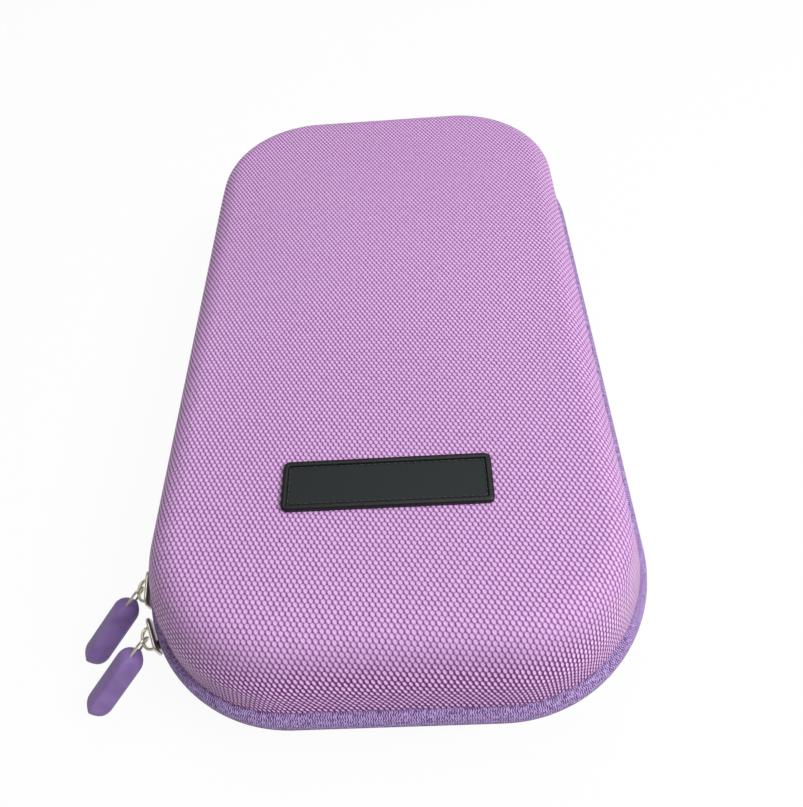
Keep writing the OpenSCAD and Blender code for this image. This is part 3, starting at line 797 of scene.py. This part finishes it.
soft = Finish("grip", Roughness=0.5, IOR=1.45)
soft.shader.inputs["Specular IOR Level"].default_value = 0.25
x, y, z, at = soft.place()
bloom = soft.noise(at, 120.0, 2.0)
fine = soft.noise(at, 1600.0, 2.0)
soft.feed(Base_Color=soft.mix(bloom.step(0.3, 0.7), tint(122, 96, 154), tint(138, 112, 170)))
soft.feed(Roughness=0.42 + bloom * 0.16)
soft.bump(fine, 0.00004)
for name, turn in slider_turns.items():
    hung = pull_frame(turn)
    piece(name + "_wire", [wire("wire", hung)], nickel, name + "_pull", [name + "_pull_wire"])
    piece(name + "_grip", [grip("grip", hung)], soft, name + "_pull", [name + "_pull_grip"])


# Pocket in the lid. A net with diamond holes hangs level under the lid's top. A sewn ribbon edges it on three
# sides, and an elastic hem closes its open end.
net_height, hem_width, hem_depth, edge_width = 0.0155, 0.010, 0.0016, 0.007
pocket_inset = 0.00005 - wall_out(net_height + hem_depth, wall_depth)
net_z = zip_height + net_height
pocket_reach = 0.165
hem_y = pocket_reach - case_length / 2


def near_reach(x, inset):
    """The near edge of the plan at x, moved in by inset: straight, then round the corner."""
    radius = corner_radius - inset
    beyond = np.clip(np.abs(x) - (case_width / 2 - corner_radius), 0, radius)
    return -side_length / 2 - np.sqrt(np.maximum(radius ** 2 - beyond ** 2, 0))


def net_mesh():
    """Threads that run along the case and swing sideways in turn, so that neighbours meet at half waves."""
    pitch, wave = 0.0030, 0.0052
    half = case_width / 2 - pocket_inset - edge_width + 0.001
    columns_at = np.arange(-half + pitch / 2, half, pitch)
    t = np.linspace(0, 1, 421)
    near = near_reach(columns_at, pocket_inset + edge_width - 0.001)
    y = near[:, None] + (hem_y - hem_width + 0.001 - near[:, None]) * t[None]
    turn_about = np.where(np.arange(len(columns_at)) % 2, 1, -1)[:, None]
    x = columns_at[:, None] + turn_about * np.cos(2 * np.pi * y / wave) * pitch * 0.49
    a = np.arange(4) * np.pi / 2
    points = np.stack(np.broadcast_arrays(x[:, :, None] + np.cos(a) * 0.00028, y[:, :, None],
                                          net_z + 0.0003 + np.sin(a) * 0.00024), -1)
    return [surface("net", column, tube=True, caps=True) for column in points]


black_net = Finish("net", Roughness=0.7, Sheen_Weight=0.3)
x, y, z, at = black_net.place()
fibres = black_net.noise(at, 1500.0)
black_net.feed(Base_Color=black_net.mix(fibres, tint(40, 36, 44), tint(86, 80, 94)))
black_net.bump(black_net.noise(at, 2500.0), 0.0001)
net = piece("net", net_mesh(), black_net, "lid", ["pocket_net"])
net_width = case_width - 2 * (pocket_inset + edge_width)
net_length = pocket_reach - pocket_inset - edge_width - hem_width
0.32 * net_width * net_length


def ribbon_box(name, x0, x1, y0, y1, z0, z1, along_x=True, gather=0.0):
    """A flat band as a closed tube round its width; gather is the share by which its rims and faces wave."""
    count, waves_on = 160, 2600
    run = np.linspace(x0, x1, count) if along_x else np.linspace(y0, y1, count)
    a = np.linspace(0, 2 * np.pi, 20, endpoint=False)
    wide = np.sign(np.cos(a)) * np.abs(np.cos(a)) ** 0.35
    deep = np.sign(np.sin(a)) * np.abs(np.sin(a)) ** 0.6
    low, high = (y0, y1) if along_x else (x0, x1)
    waves = gather * np.cos(run[:, None] * waves_on)
    side = (low + high) / 2 + (high - low) / 2 * wide[None] * (1 + waves)
    lift = (z0 + z1) / 2 + (z1 - z0) / 2 * deep[None] * (1 - 2 * gather + 2 * waves)
    chart = np.stack(np.broadcast_arrays(run[:, None], np.linspace(0, 2 * (high - low), 21)[None]), -1)
    run = np.broadcast_to(run[:, None], side.shape)
    points = np.stack([run, side, lift], -1)[:, ::-1] if along_x else np.stack([side, run, lift], -1)
    return surface(name, points, chart, tube=True, caps=True)


elastic = Finish("elastic", Roughness=0.8, Sheen_Weight=0.3)
u, v, at = elastic.along()
cords = (v * (2 * np.pi / 0.0014)).cos() * 0.5 + 0.5
picks = (u * (2 * np.pi / 0.0006)).cos() * 0.5 + 0.5
elastic.feed(Base_Color=elastic.mix(cords * 0.6 + picks * 0.3, tint(36, 32, 40), tint(92, 84, 100)))
elastic.bump(cords * 0.7 + picks * 0.3, 0.0003)
hem_half = case_width / 2 - pocket_inset - edge_width
hem = ribbon_box("hem", -hem_half, hem_half, hem_y - hem_width, hem_y, net_z, net_z + hem_depth, gather=0.03)
piece("hem", [hem], elastic, "lid", ["pocket_hem"])


def pocket_ribbon():
    """The edging: a flat ribbon along the left side, round the near corners and up the right side. Its
    section is a squared oval, edge_width by hem_depth."""
    start = case_length / 2 - corner_radius - hem_y
    stop = 2 * side_length + np.pi * corner_radius + case_width - 2 * corner_radius - start
    distance = np.linspace(start, stop, 220)
    way = way_round(case_width, case_length, corner_radius, distance)
    a = np.linspace(0, 2 * np.pi, 20, endpoint=False)
    out = -pocket_inset - edge_width / 2 + edge_width / 2 * np.sign(np.cos(a)) * np.abs(np.cos(a)) ** 0.3
    height = net_z + hem_depth / 2 + hem_depth / 2 * np.sign(np.sin(a)) * np.abs(np.sin(a)) ** 0.6
    chart = np.stack(np.broadcast_arrays(distance[:, None], np.linspace(0, 0.016, 21)[None]), -1)
    points = carried(way, corner_radius, out, height)
    return surface("pocket_ribbon", points, chart, tube=True, caps=True), start, stop


ribbon_mesh, ribbon_start, ribbon_stop = pocket_ribbon()
piece("pocket_ribbon", [ribbon_mesh], ribbed, "lid", ["pocket_edge"])
distance = np.arange(ribbon_start + 0.002, ribbon_stop, 0.003)
way = way_round(case_width, case_length, corner_radius, distance)
seam = [stitches("pocket_seam", way, corner_radius, out, net_z - 0.00005, [0, 0, 0], 0.0022, 0.0005)
        for out in (-pocket_inset - 0.0012, -pocket_inset - edge_width + 0.0012)]
piece("pocket_seam", seam, thread, "lid")


# Strap in the base. A wide elastic band lies across the floor to hold the instrument's tubing. A sewn tab
# covers each of its ends.
strap_half = case_width / 2 - band_proud - wall_depth - 0.026
strap_y, strap_width, strap_depth, tab_length = 0.020, 0.038, 0.0014, 0.014
stitch_inset, stitch_turn = 0.004, 0.0005
band = ribbon_box("strap", -strap_half, strap_half, strap_y - strap_width / 2, strap_y + strap_width / 2,
                  wall_depth, wall_depth + strap_depth)
piece("strap", [band], elastic, "base", ["base_strap"])
tabs, tab_seams = [], []
for side in (-1, 1):
    low, high = sorted((side * strap_half, side * (strap_half - tab_length)))
    tabs.append(ribbon_box("tab", low, high, strap_y - strap_width / 2, strap_y + strap_width / 2,
                           wall_depth + strap_depth, wall_depth + 2 * strap_depth, along_x=False))
    frame_way = way_round(tab_length - stitch_inset, strap_width - stitch_inset, stitch_turn,
                          np.arange(0, 0.088, 0.0024))
    tab_seams.append(stitches("tab_seam", frame_way, stitch_turn, 0.0, wall_depth + 2 * strap_depth,
                              [(low + high) / 2, strap_y, 0], 0.0018, 0.0005))
piece("strap_tabs_sewn", tabs, ribbed, "base", ["strap_tabs"])
piece("tab_seams", tab_seams, thread, "base")
